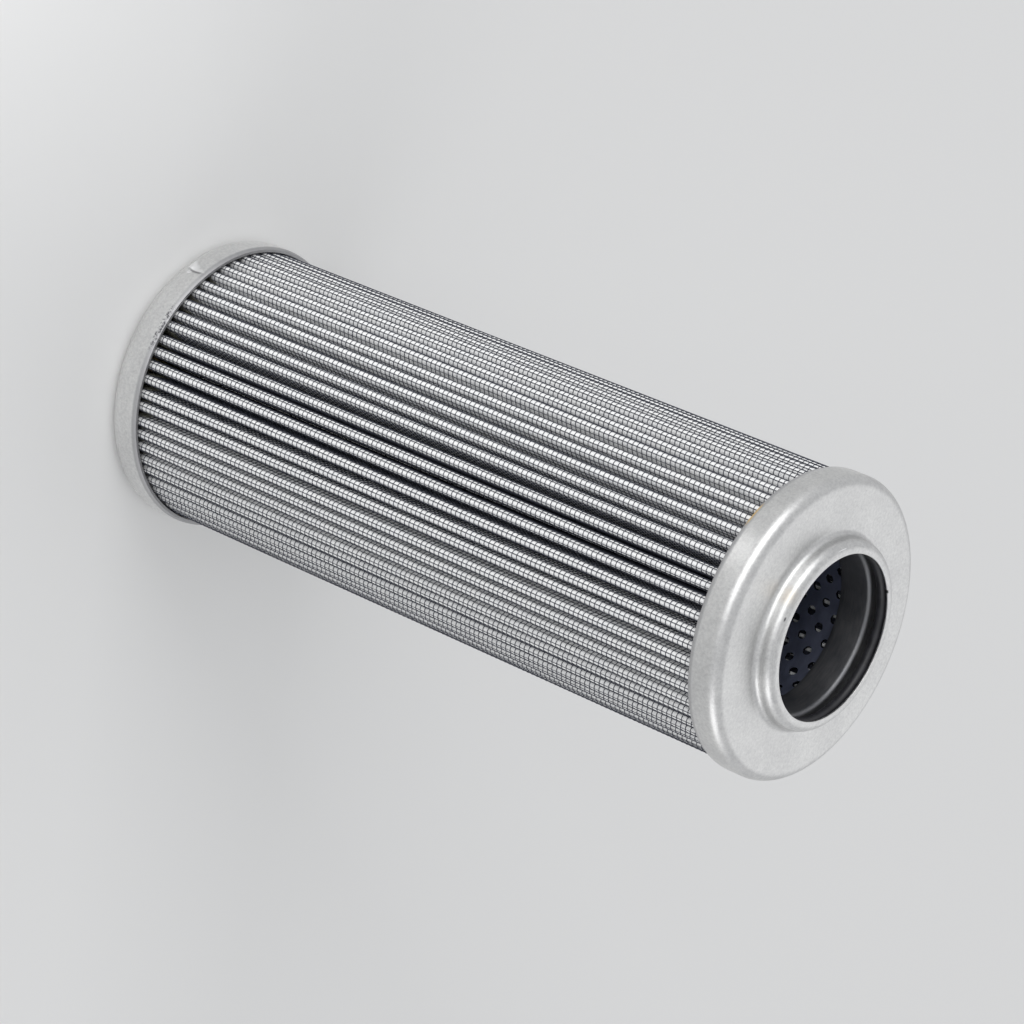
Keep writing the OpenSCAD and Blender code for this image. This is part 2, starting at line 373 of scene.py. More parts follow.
def closed_cap_marks(tree, radius, angle, height, grain):
    away = times(tree, minus(tree, angle, DENT_A), CAP_R)
    # Painted highlight on the dent's wide facet.
    facet = painted_facet_highlight(tree, radius, away, height, grain)
    middle = (DENT_FROM + DENT_TO) / 2
    # Painted shade along the crease.
    crease_painted_shade = times(tree, near(tree, away, 0.25 * MM, 0.60 * MM, 1.4),
                        near(tree, height, middle - 0.6 * MM, DENT_TO - middle, 2.0))
    # Painted highlight beside the crease's start.
    crease_start_highlight = times(tree, near(tree, away, 1.2 * MM, 0.75 * MM, 3.0),
                   near(tree, height, 5.1 * MM, 0.6 * MM, 3.0))
    curl = near(tree, height, CLOSED_SKIRT_H, 1.5 * MM, 2.5)
    edge = spot(tree, angle, -24.0, 11.0, height, CLOSED_SKIRT_H - 0.8 * MM, 0.75 * MM, 2.5)
    dark_specks = times(tree, edge, maths(tree, "LESS_THAN", grain, 0.47))
    light_specks = times(tree, edge, maths(tree, "GREATER_THAN", grain, 0.60))
    return ((times(tree, curl, 0.75), (0.32, 0.32, 0.33), 0.65),
            (times(tree, facet, 0.9), (0.98, 0.98, 0.98), 0.30),
            (times(tree, crease_painted_shade, 0.8), (0.20, 0.20, 0.21), 0.50),
            (crease_start_highlight, (0.99, 0.99, 0.99), 0.15),
            (dark_specks, (0.16, 0.16, 0.17), 0.60),
            (times(tree, light_specks, 0.6), (0.80, 0.80, 0.78), 0.50))


# The closed cap's plating is given lighter tones than the open cap's: painted light, which makes up for the
# floor's shade round the cap's foot.
plated_closed = plated_sheet(
    "zinc_plated_closed_cap_lightened", closed_cap_marks, (0.60, 0.60, 0.60), (0.84, 0.84, 0.83))

# %% [markdown]
# ## Drawn steel of the retainer and rolled steel of the core
#
# The retainer under the seal ring is smooth drawn steel. Its wall is grey and its rounded mouth is bright.
# The core tube is rolled from perforated strip with a dull blue-black skin. Both are metal, and differ in how
# dark the skin is and how finely it is scratched, so one function makes both. Past the core's inner face, in
# the walls of its holes, the skin is painted nearly black and not metal: a painted shade, so that the holes
# look dark.

# %% Drawn and rolled steel
HOLE_PAINTED_SHADE = (0.010, 0.011, 0.015)


def bare_steel(name, dark, light, fine_z, lit_to=None):
    """Bare steel, which is painted black beyond the radius lit_to, as painted shade."""
    material, tree, shader = finish(name)
    place, radius, angle, height = around(tree)
    cloud = noise(tree, place, 160.0, 4.0)
    streaks = round_streaks(tree, angle, radius, height, 6.0, 1500.0, fine_z, 2.0)
    tone = plus(tree, times(tree, cloud, 0.5), times(tree, streaks, 0.5))
    colour = ramp(tree, tone, [(0.32, dark), (0.68, light)])
    shader.inputs["Metallic"].default_value = 1.0
    if lit_to:
        # Beyond lit_to, in the walls of the holes, the colour is painted shade: near black and not metal.
        lit = maths(tree, "LESS_THAN", radius, lit_to)
        colour = blend(tree, lit, HOLE_PAINTED_SHADE, colour)
        tree.links.new(lit, shader.inputs["Metallic"])
        tree.links.new(times(tree, lit, 0.5), shader.inputs["Specular IOR Level"])
    tree.links.new(colour, shader.inputs["Base Color"])
    tree.links.new(maths(tree, "MULTIPLY_ADD", tone, 0.2, 0.42), shader.inputs["Roughness"])
    grain = noise(tree, place, 2600.0, 2.0)
    bump(tree, shader, maths(tree, "MULTIPLY_ADD", streaks, 0.4, grain), 0.6, 0.05 * MM)
    print(f"{name}: {len(tree.nodes)} nodes")
    return material


drawn = bare_steel("drawn_steel", (0.18, 0.185, 0.20), (0.27, 0.27, 0.275), 2200.0)
rolled = bare_steel("rolled_core_steel", (0.29, 0.32, 0.43), (0.36, 0.39, 0.52), 900.0, CORE_IN_R + 0.04 * MM)

# %% [markdown]
# ## Rubber and adhesive
#
# The seal ring is smooth black rubber with a faint bloom. The adhesive is hidden in the caps, and is a cast
# honey-coloured resin. Both are plain glossy or dull surfaces with a slow change of tone, so one function
# makes both from two colours and one noise.

# %% Rubber and adhesive
def moulded(name, scale, stops, bump_strength, bump_depth):
    """A moulded or cast finish with a slow change of tone."""
    material, tree, shader = finish(name)
    place = node(tree, "ShaderNodeTexCoord").outputs["Object"]
    bloom = noise(tree, place, scale, 3.0)
    tree.links.new(ramp(tree, bloom, stops), shader.inputs["Base Color"])
    bump(tree, shader, bloom, bump_strength, bump_depth)
    print(f"{name}: {len(tree.nodes)} nodes")
    return material, tree, shader, bloom


rubber, tree, shader, bloom = moulded(
    "seal_rubber", 300.0, [(0.35, (0.012, 0.012, 0.014)), (0.75, (0.030, 0.030, 0.036))], 0.1, 0.01 * MM)
tree.links.new(maths(tree, "MULTIPLY_ADD", bloom, 0.18, 0.38), shader.inputs["Roughness"])
adhesive, tree, shader, bloom = moulded(
    "cast_adhesive", 120.0, [(0.35, (0.46, 0.33, 0.16)), (0.7, (0.62, 0.49, 0.28))], 0.3, 0.1 * MM)
shader.inputs["Roughness"].default_value = 0.3

# %% [markdown]
# ## Coated wire
#
# The wire has a dark epoxy coat with a dull gloss. Some adhesive has crept up between the pleats past the
# edge of the closed cap and dried to a dull olive, over the fleece and the wire alike, so `creep` serves
# both. The inner mesh has the same coat as the wire. Where it lies against the core it is painted near black,
# a painted shade that makes the core's holes look dark.

# %% Coated wire
OLIVE = (0.21, 0.205, 0.165)
CORE_PAINTED_SHADE = (0.004, 0.004, 0.006)


def creep(tree, place, radius, height):
    """How much crept adhesive covers a place: up to a wavy height that falls towards the pleats' tips."""
    wave = noise(tree, place, 180.0, 1.0)
    top = maths(tree, "MULTIPLY_ADD", wave, 2.0 * MM, CLOSED_SKIRT_H + 0.9 * MM)
    past_tips = maths(tree, "MAXIMUM", minus(tree, radius, CAP_R - 4.0 * MM), 0.0)
    top = minus(tree, top, times(tree, past_tips, 2.0))
    share = times(tree, minus(tree, top, height), 0.8 / MM)
    share.node.use_clamp = True
    return share


def coated_wire():
    material, tree, shader = finish("coated_wire")
    place, radius, angle, height = around(tree)
    coat = noise(tree, place, 900.0, 2.0)
    colour = ramp(tree, coat, [(0.3, (0.022, 0.025, 0.040)), (0.7, (0.055, 0.060, 0.082))])
    colour = blend(tree, creep(tree, place, radius, height), colour, OLIVE)
    # Next to the core the coat is painted near black: painted shade behind the core's holes.
    at_core = maths(tree, "LESS_THAN", radius, CORE_OUT_R + 0.8 * MM)
    tree.links.new(blend(tree, at_core, colour, CORE_PAINTED_SHADE), shader.inputs["Base Color"])
    tree.links.new(maths(tree, "MULTIPLY_ADD", coat, 0.2, 0.45), shader.inputs["Roughness"])
    print(f"coated_wire: {len(tree.nodes)} nodes")
    return material


wire = coated_wire()

# %% [markdown]
# ## White fleece
#
# The fleece under the wire is matt white, and bulges a little in each mesh of the wire. Modelled bulges
# would need a great many faces, so they are relief in the finish: the piece's UV map counts the wires, and a
# sine of each count is nothing at a wire and full between two. The hidden layers leave the bulges out.

# %% Fleece
def white_fleece(name, swollen):
    material, tree, shader = finish(name)
    place, radius, angle, height = around(tree)
    lie = noise(tree, place, 240.0, 3.0)
    fibres = noise(tree, place, 3500.0, 3.0, 0.7)
    tone = plus(tree, times(tree, lie, 0.45), times(tree, fibres, 0.55))
    relief = times(tree, fibres, 0.3)
    if swollen:
        counts = xyz(tree, node(tree, "ShaderNodeTexCoord").outputs["UV"])
        waves = [maths(tree, "SINE", times(tree, count, math.pi)) for count in counts[:2]]
        cushion = times(tree, *[maths(tree, "ABSOLUTE", wave) for wave in waves])
        relief = plus(tree, relief, maths(tree, "POWER", cushion, 0.6))
    colour = ramp(tree, tone, [(0.3, (0.78, 0.79, 0.80)), (0.65, (0.90, 0.90, 0.89))])
    colour = blend(tree, creep(tree, place, radius, height), colour, OLIVE)
    tree.links.new(colour, shader.inputs["Base Color"])
    shader.inputs["Roughness"].default_value = 0.85
    shader.inputs["Sheen Weight"].default_value = 0.15
    bump(tree, shader, relief, 0.5, 0.12 * MM)
    print(f"{name}: {len(tree.nodes)} nodes")
    return material


fleece = white_fleece("white_fleece", swollen=False)
cover_fleece = white_fleece("swollen_cover_fleece", swollen=True)

# %% [markdown]
# ## Turned pieces
#
# A pressed cap, a seal ring and a drawn ring are all round, so each is one section turned about the axis. A
# modelled section beats a cylinder with bevels here, because every bend of the sheet then has its true
# radius on both faces. `bend` gives the points of one bend, and `turned` spins a closed section into a shell.

# %% Section helpers
def bend(centre_r, centre_z, radius, start, end, steps):
    """Points along an arc of a section, from one angle to another, in degrees."""
    points = []
    for k in range(steps + 1):
        a = math.radians(start + (end - start) * k / steps)
        points.append((centre_r + radius * math.cos(a), centre_z + radius * math.sin(a)))
    return points


def shade(made, sharp=35.0):
    """Turn the faces outwards and shade them smooth, but for edges that turn by more degrees than sharp."""
    bmesh.ops.recalc_face_normals(made, faces=made.faces)
    for face in made.faces:
        face.smooth = True
    for edge in made.edges:
        if len(edge.link_faces) == 2 and edge.calc_face_angle(0.0) > math.radians(sharp):
            edge.smooth = False


def keep(made, mesh):
    """Write the built shape to a mesh, and free it."""
    made.to_mesh(mesh)
    made.free()
    return mesh


def turned(name, section, steps, shape=None):
    """Spin a closed section about the axis. shape(r, angle, z) may move each point a little."""
    made = bmesh.new()
    rings = []
    for s in range(steps):
        a = 2 * math.pi * s / steps
        ring = []
        for r, z in section:
            pr, pa, pz = shape(r, a, z) if shape else (r, a, z)
            ring.append(made.verts.new((pr * math.cos(pa), pr * math.sin(pa), pz)))
        rings.append(ring)
    count = len(section)
    for here, there in zip(rings, rings[1:] + rings[:1]):
        for k in range(count):
            made.faces.new((here[k], there[k], there[(k + 1) % count], here[(k + 1) % count]))
    bmesh.ops.remove_doubles(made, verts=made.verts, dist=1e-7)
    shade(made)
    return keep(made, bpy.data.meshes.new(name))


# %% [markdown]
# ## Taking a piece into the scene
#
# A mesh alone is nothing in the scene. It needs an object, which stays at the origin, unturned, because the
# mesh already holds the place. It also needs a word on which solid it stands for and which finish it takes.
# Every piece needs the same steps, so `new_piece` does them all.

# %% New piece
def new_piece(name, mesh, material, *stands_for, slot):
    """Link a finished mesh as a piece that rides on the element and stands for its solids."""
    piece = bpy.data.objects.new(name, mesh)
    bpy.context.scene.collection.objects.link(piece)
    if not mesh.materials:
        mesh.materials.append(material)
    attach(piece, "root")
    if stands_for:
        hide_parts(*stands_for)
    mesh.calc_loop_triangles()
    print(f"{name}: {len(mesh.loop_triangles)} triangles")
    return piece


# %% [markdown]
# ## The open end cap
#
# One sheet makes the skirt, the shoulder, the flat face and the collar. Its section runs up the outside of
# the skirt, over the shoulder and the collar to the bore's raw edge, and back along the inside one sheet
# thickness away. The skirt's edge is curled in a little, which is what catches the light along it. Both caps
# have that edge, so `curled_edge` gives it for either: out along the sheet's outer face and back on its inner
# face, with the sheared edge between them.

# %% Curled edge
CURL_IN = 0.5 * MM
CURL_H = 1.8 * MM
CURL_R = (CURL_H ** 2 + CURL_IN ** 2) / (2 * CURL_IN)
EDGE_ROUND = 0.15 * MM


def curled_edge(edge_z, upwards, steps):
    """The outer and the inner arc of a skirt's curled edge, each from the straight skirt to the edge."""
    centre_z = edge_z - CURL_H * upwards
    arcs = []
    for radius in (CURL_R, CURL_R - SHEET):
        turn = math.degrees(math.asin(CURL_H / radius)) * upwards
        arcs.append(bend(CAP_R - CURL_R, centre_z, radius, 0, turn, steps))
    return arcs


# %% Open end cap
AROUND = 288
OPEN_SHOULDER_R = 3.1 * MM
COLLAR_TOP_R = 2.5 * MM
COLLAR_FOOT_R = 1.6 * MM


def open_cap_section():
    shoulder = (CAP_R - OPEN_SHOULDER_R, FACE_Z - OPEN_SHOULDER_R)
    foot = (COLLAR_R + COLLAR_FOOT_R, FACE_Z + COLLAR_FOOT_R)
    top = (COLLAR_R - COLLAR_TOP_R, FACE_Z + COLLAR_H - COLLAR_TOP_R)
    curl_out, curl_back = curled_edge(FACE_Z - OPEN_SKIRT_H, -1, 6)
    rim_z = FACE_Z + COLLAR_H
    low = curl_out[0][1]
    outside = curl_out[::-1]
    outside += [(CAP_R, low + (shoulder[1] - low) * k / 4) for k in range(1, 4)]
    outside += bend(*shoulder, OPEN_SHOULDER_R, 0, 90, 14)
    outside += [(shoulder[0] + (foot[0] - shoulder[0]) * k / 8, FACE_Z) for k in range(1, 8)]
    outside += bend(*foot, COLLAR_FOOT_R, 270, 180, 10)
    outside += bend(*top, COLLAR_TOP_R, 0, 90, 14)
    outside += bend(BORE_R + EDGE_ROUND, rim_z - EDGE_ROUND, EDGE_ROUND, 90, 180, 3)
    inside = bend(BORE_R + EDGE_ROUND, rim_z - SHEET + EDGE_ROUND, EDGE_ROUND, 180, 270, 3)
    inside += bend(*top, COLLAR_TOP_R - SHEET, 90, 0, 8)
    inside += bend(*foot, COLLAR_FOOT_R + SHEET, 180, 270, 8)
    inside += bend(*shoulder, OPEN_SHOULDER_R - SHEET, 90, 0, 8)
    return outside + inside + curl_back


cap_mesh = turned("open_cap_sheet", open_cap_section(), AROUND)
new_piece("open_cap_sheet", cap_mesh, plated_open, "open_end_cap", slot="plated_steel")

# %% [markdown]
# ## The closed end cap
#
# The other cap is a plain cup with a wider shoulder. Its skirt took a knock at some time: a short crease runs
# across it, from the shoulder almost to the edge. One side of it is a wide shallow facet and the other a
# narrow steep one, and it starts at the shoulder with a short steep step that catches the light. The crease
# is made by moving the points near it inwards, on both faces of the sheet, so it shows inside as well.

# %% Section of the closed cap
CLOSED_SHOULDER_R = 4.6 * MM


def closed_cap_section():
    centre = (CAP_R - CLOSED_SHOULDER_R, CLOSED_SHOULDER_R)
    curl_out, curl_back = curled_edge(CLOSED_SKIRT_H, 1, 6)
    top = curl_out[0][1]
    outside = [(0.0, 0.0)] + [(centre[0] * k / 8, 0.0) for k in range(1, 8)]
    outside += bend(*centre, CLOSED_SHOULDER_R, -90, 0, 18)
    outside += [(CAP_R, centre[1] + (top - centre[1]) * k / 7) for k in range(1, 7)]
    inside = curl_out + curl_back[::-1]
    inside += [(CAP_R - SHEET, top + (centre[1] - top) * k / 5) for k in range(1, 5)]
    inside += bend(*centre, CLOSED_SHOULDER_R - SHEET, 0, -90, 10)
    inside += [(centre[0] * k / 4, SHEET) for k in range(3, 0, -1)] + [(0.0, SHEET)]
    return outside + inside


# %% Dent, and the closed end cap
DENT_STEEP = 1.7 * MM
DENT_DEPTH = 0.60 * MM
DENT_FADES = 6.5 * MM


def share(value, start, end):
    """How far a value is on its way from start to end, from 0 to 1."""
    return min(1.0, max(0.0, (value - start) / (end - start)))


def crease(r, a, z):
    """Push the skirt in along a short lopsided V across it."""
    away = math.atan2(math.sin(a - DENT_A), math.cos(a - DENT_A)) * CAP_R
    across = share(away, -DENT_WIDE, 0) if away < 0 else share(away, DENT_STEEP, 0)
    along = share(z, DENT_FROM, DENT_FULL) * share(z, DENT_TO, DENT_FADES)
    on_skirt = 1.0 if r > CAP_R - CLOSED_SHOULDER_R else 0.0
    return r - DENT_DEPTH * across * along * on_skirt, a, z


cap_mesh = turned("closed_cap_sheet", closed_cap_section(), AROUND * 3 // 2, crease)
new_piece("closed_cap_sheet", cap_mesh, plated_closed, "closed_end_cap", slot="plated_steel")

# %% [markdown]
# ## The seal ring and its retainer
#
# The seal ring has a round section. The retainer is a drawn ring: a flange under the flat face, a rounded
# mouth and a straight wall. A torus would do for the seal ring, but both are sections turned about the axis
# as the caps are, so they are made in the same way.

# %% Seal ring and retainer
SEAL_CENTRE_R = BORE_R - SEAL_BITE + SEAL_R
SEAL_Z = (seal_low.z + seal_high.z) / 2
RETAINER_T = 0.6 * MM
MOUTH_R = 1.2 * MM
RING_STEPS = 224

seal_section = bend(SEAL_CENTRE_R, SEAL_Z, SEAL_R, 0, 350, 35)
seal_mesh = turned("black_seal_ring", seal_section, RING_STEPS)
new_piece("black_seal_ring", seal_mesh, rubber, "seal_ring", slot="seal_rubber")


def retainer_section():
    top, low = retainer_high.z, retainer_low.z
    centre = (BORE_R + MOUTH_R, top - MOUTH_R)
    points = [(retainer_high.x, top - RETAINER_T), (retainer_high.x, top)]
    points += bend(*centre, MOUTH_R, 90, 180, 10)
    points += [(BORE_R, centre[1] + (low - centre[1]) * k / 6) for k in range(1, 6)]
    points += bend(BORE_R + EDGE_ROUND, low + EDGE_ROUND, EDGE_ROUND, 180, 270, 3)
    points += bend(BORE_R + RETAINER_T - EDGE_ROUND, low + EDGE_ROUND, EDGE_ROUND, 270, 360, 3)
    points += bend(*centre, MOUTH_R - RETAINER_T, 180, 90, 6)
    return points


retainer_mesh = turned("drawn_retainer", retainer_section(), RING_STEPS)
new_piece("drawn_retainer", retainer_mesh, drawn, "seal_retainer", slot="bright_steel")

# %% [markdown]
# ## Geometry Nodes helpers
#
# What repeats on this element repeats by the hundred: perforations, wires and folds. Each is a small tree of
# Geometry Nodes that sets one shape out many times, with its sizes as named inputs. A loop in Python could do
# it too, but a tree is faster, and a reader can open it and change a size. `repeat_tree` starts such a tree,
# and `run_tree` evaluates it once and keeps the result as a plain mesh.

# %% Geometry Nodes helpers
def repeat_tree(name, inputs):
    """An empty tree with named inputs, and its group input and output nodes."""
    tree = bpy.data.node_groups.new(name, "GeometryNodeTree")
    tree.interface.new_socket("Geometry", in_out="INPUT", socket_type="NodeSocketGeometry")
    for label, kind in inputs.items():
        tree.interface.new_socket(label, in_out="INPUT", socket_type="NodeSocket" + kind)
    tree.interface.new_socket("Geometry", in_out="OUTPUT", socket_type="NodeSocketGeometry")
    start = tree.nodes.new("NodeGroupInput")
    end = tree.nodes.new("NodeGroupOutput")
    return tree, start.outputs, end.inputs


def dress(tree, geometry, material, out):
    """End a tree: make every copy real, and give it its material."""
    real = node(tree, "GeometryNodeRealizeInstances", Geometry=geometry).outputs[0]
    tree.links.new(node(tree, "GeometryNodeSetMaterial", Geometry=real, Material=material).outputs[0], out)


def run_tree(name, tree, values):
    """Run a tree with these input values, and return the mesh that comes out."""
    holder = bpy.data.objects.new(name + "_start", bpy.data.meshes.new(name + "_start"))
    bpy.context.scene.collection.objects.link(holder)
    modifier = holder.modifiers.new("repeat", "NODES")
    modifier.node_group = tree
    sockets = {s.name: s.identifier for s in tree.interface.items_tree if s.in_out == "INPUT"}
    for label, value in values.items():
        modifier[sockets[label]] = value
    holder.update_tag()
    graph = bpy.context.evaluated_depsgraph_get()
    made = bpy.data.meshes.new_from_object(holder.evaluated_get(graph))
    made.name = name
    bpy.data.objects.remove(holder)
    return made


# %% [markdown]
# ## The perforated core
#
# The core is punched strip rolled to a tube, with round holes in staggered rings. Cutting more than a
# thousand holes with booleans would be slow and would leave slivers. Instead one tile with one hole is set
# out on a flat grid, and the grid is then rolled: each point's place across becomes its angle, and its depth
# becomes its radius. Neighbouring tiles share their edge points, so merging them gives one closed wall.

# %% One tile of the core
HOLES_PER_RING = 22
RING_STEP = 3.5 * MM
FIRST_RING_DEPTH = 10.3 * MM
FIRST_HOLE_A = math.radians(-2.8)
HOLE_R = 1.2 * MM
TILE_W = 2 * math.pi * CORE_OUT_R / HOLES_PER_RING
TILE_RIM = ((1, 0), (1, 1), (0.5, 1), (0, 1), (-0.5, 1), (-1, 1),
            (-1, 0), (-1, -1), (-0.5, -1), (0, -1), (0.5, -1), (1, -1))


def hole_tile():
    """A flat tile with one round hole through it, as wide as its share of the ring."""
    made = bmesh.new()
    rim = [(TILE_W / 2 * x, RING_STEP / 2 * y) for x, y in TILE_RIM]
    stretch = CORE_OUT_R / (CORE_OUT_R - CORE_WALL / 2)
    walls = []
    for depth in (0.0, -CORE_WALL):
        edge = [made.verts.new((x, y, depth)) for x, y in rim]
        hole = []
        for x, y in rim:
            a = math.atan2(y, x)
            hole.append(made.verts.new((HOLE_R * stretch * math.cos(a), HOLE_R * math.sin(a), depth)))
        walls.append((edge, hole))
    (edge, hole), (in_edge, in_hole) = walls
    for k in range(len(rim)):
        n = (k + 1) % len(rim)
        made.faces.new((edge[k], edge[n], hole[n], hole[k]))
        made.faces.new((in_edge[n], in_edge[k], in_hole[k], in_hole[n]))
        made.faces.new((hole[k], hole[n], in_hole[n], in_hole[k]))
    return keep(made, bpy.data.meshes.new("hole_tile"))


print(f"a tile is {TILE_W / MM:.2f} by {RING_STEP / MM:.2f} mm, with {len(TILE_RIM)} points round its hole")

# %% [markdown]
# The tree has two halves. The first sets the tiles out on a grid, with every other ring half a tile further
# on. The second rolls the flat sheet: it stretches the lowest and the highest points to the tube's ends, and
# turns each point's x, y and depth into an angle, a height and a radius.

# %% Flat grid of tiles
def choose(tree, test, if_true, if_false):
    """One of two numbers, by a test that is 0 or 1."""
    part = minus(tree, if_true, if_false)
    return maths(tree, "MULTIPLY_ADD", test, part, if_false)


def flat_tiles(tree, given, gaps_up):
    """The tiles side by side on a flat grid, staggered ring by ring."""
    gaps_across = minus(tree, given["Across"], 1.0)
    grid = node(tree, "GeometryNodeMeshGrid", in2=given["Across"], in3=given["Rings"],
                in0=times(tree, gaps_across, given["Tile Width"]),
                in1=times(tree, gaps_up, given["Ring Step"])).outputs["Mesh"]
    x, y, z = xyz(tree, node(tree, "GeometryNodeInputPosition").outputs[0])
    steps_up = maths(tree, "DIVIDE", y, given["Ring Step"])
    ring = maths(tree, "ROUND", maths(tree, "MULTIPLY_ADD", gaps_up, 0.5, steps_up))
    stagger = minus(tree, 0.5, times(tree, maths(tree, "MODULO", ring, 2.0), 0.5))
    shift = node(tree, "ShaderNodeCombineXYZ", in0=times(tree, stagger, given["Tile Width"]))
    grid = node(tree, "GeometryNodeSetPosition", Geometry=grid, Offset=shift.outputs[0]).outputs[0]
    tile = node(tree, "GeometryNodeObjectInfo", Object=given["Tile"]).outputs["Geometry"]
    tiles = node(tree, "GeometryNodeInstanceOnPoints", Points=grid, Instance=tile).outputs[0]
    return node(tree, "GeometryNodeRealizeInstances", Geometry=tiles).outputs[0]


# %% Rolled tube
def rolled_tiles_tree():
    tree, given, out = repeat_tree("rolled_tiles", {
        "Tile": "Object", "Across": "Int", "Rings": "Int", "Tile Width": "Float", "Ring Step": "Float",
        "Radius": "Float", "First Hole Angle": "Float", "Lowest Ring": "Float", "Wall Bottom": "Float",
        "Wall Top": "Float", "Material": "Material"})
    gaps_up = minus(tree, given["Rings"], 1.0)
    flat = flat_tiles(tree, given, gaps_up)
    x, y, z = xyz(tree, node(tree, "GeometryNodeInputPosition").outputs[0])
    half = times(tree, gaps_up, times(tree, given["Ring Step"], 0.5))
    height = plus(tree, plus(tree, y, half), given["Lowest Ring"])
    edge = times(tree, given["Ring Step"], 0.49)
    lowest = minus(tree, given["Lowest Ring"], edge)
    highest = plus(tree, maths(tree, "MULTIPLY_ADD", half, 2.0, given["Lowest Ring"]), edge)
    height = choose(tree, maths(tree, "LESS_THAN", height, lowest), given["Wall Bottom"], height)
    height = choose(tree, maths(tree, "GREATER_THAN", height, highest), given["Wall Top"], height)
    angle = plus(tree, maths(tree, "DIVIDE", x, given["Radius"]), given["First Hole Angle"])
    radius = plus(tree, given["Radius"], z)
    place = node(tree, "ShaderNodeCombineXYZ", in2=height,
                 in0=times(tree, radius, maths(tree, "COSINE", angle)),
                 in1=times(tree, radius, maths(tree, "SINE", angle))).outputs[0]
    rolled_up = node(tree, "GeometryNodeSetPosition", Geometry=flat, Position=place).outputs[0]
    joined = node(tree, "GeometryNodeMergeByDistance", Geometry=rolled_up, Distance=0.01 * MM).outputs[0]
    dress(tree, joined, given["Material"], out[0])
    return tree


first_ring = FACE_Z - FIRST_RING_DEPTH
rings_below = int((first_ring - core_low.z - RING_STEP / 2) / RING_STEP)
rings_above = int((core_high.z - first_ring - RING_STEP / 2) / RING_STEP)
tile_object = bpy.data.objects.new("hole_tile", hole_tile())
core_mesh = run_tree("perforated_core", rolled_tiles_tree(), {
    "Tile": tile_object, "Across": HOLES_PER_RING, "Rings": rings_below + rings_above + 1,
    "Tile Width": TILE_W, "Ring Step": RING_STEP, "Radius": CORE_OUT_R,
    "First Hole Angle": FIRST_HOLE_A, "Lowest Ring": first_ring - rings_below * RING_STEP,
    "Wall Bottom": core_low.z, "Wall Top": core_high.z, "Material": rolled})
bpy.data.objects.remove(tile_object)
print(f"{rings_below + rings_above + 1} rings of {HOLES_PER_RING} holes")

# %% [markdown]
# The rolled wall still has an open gap between its outer and inner faces at each end of the tube. A real tube
# shows the sheet's cut edge there, so each pair of rims is bridged with a ring of faces.

# %% Close the core's ends
def close_ends(mesh):
    """Bridge the two open rims at each end of a tube wall."""
    made = bmesh.new()
    made.from_mesh(mesh)
    middle = (core_low.z + core_high.z) / 2
    open_edges = [e for e in made.edges if len(e.link_faces) == 1]
    for side in (-1, 1):
        bmesh.ops.bridge_loops(made, edges=[e for e in open_edges if (e.verts[0].co.z - middle) * side > 0])
    shade(made)
    return keep(made, mesh)


new_piece("perforated_core", close_ends(core_mesh), rolled, "core_tube", slot="core_steel")

# %% [markdown]
# ## The pleats
#
# The pack is one long strip of layers folded to and fro round the core. Seen along the axis, its outer face
# is a closed outline: a round fold at each tip, a straight leg down, a tight fold at the root and a leg back.
# A sine wave would be simpler, but its legs and folds have no true thickness, so the layers would cross. The
# tips wander a little from an even spacing, as hand-set pleats do.

# %% Folds of the pleats
FIRST_TIP_A = math.radians(-1.6)
LEG_T = 1.03 * MM
TIP_INNER_R = 0.27 * MM
ROOT_OUTER_R = 0.15 * MM
PACK_GAP = 0.15 * MM
WIRE_RISE = 0.12 * MM
TIP_WANDER = 0.25 * MM
PLEATS = 61
WANDER_TURN = math.radians(137.5)

TIP_OUTER_R = TIP_INNER_R + LEG_T
TIP_C_R = CAP_R - SHEET - CURL_IN - PACK_GAP - WIRE_RISE - TIP_OUTER_R
ROOT_C_R = CORE_OUT_R + PACK_GAP + LEG_T + ROOT_OUTER_R


def tip_angle(i):
    return FIRST_TIP_A + 2 * math.pi * i / PLEATS + TIP_WANDER / TIP_C_R * math.sin(WANDER_TURN * i)


def root_angle(i):
    return FIRST_TIP_A + 2 * math.pi * (i + 0.5) / PLEATS


def polar(r, a):
    return Vector((r * math.cos(a), r * math.sin(a)))


print(f"fold centres: tips at {TIP_C_R / MM:.2f} mm and roots at {ROOT_C_R / MM:.2f} mm from the axis")

# %% [markdown]
# A leg is the line that touches a tip's circle and a root's circle. From its direction follow the angles at
# which each fold starts and ends. The same outline carries the fleece and, just outside it, the wires, so
# `pleat_outline` gives it at any depth below the outermost face.

# %% Pleat outline
def leg_side(tip, root):
    """How far a leg's own direction is turned from the line that joins its two fold centres."""
    return math.asin((TIP_OUTER_R + ROOT_OUTER_R) / (root - tip).length)


def fold(centre, radius, start, end, steps):
    return [centre + polar(radius, start + (end - start) * k / steps) for k in range(steps + 1)]


def wrapped(a):
    """An angle brought to within half a turn of zero."""
    return math.atan2(math.sin(a), math.cos(a))


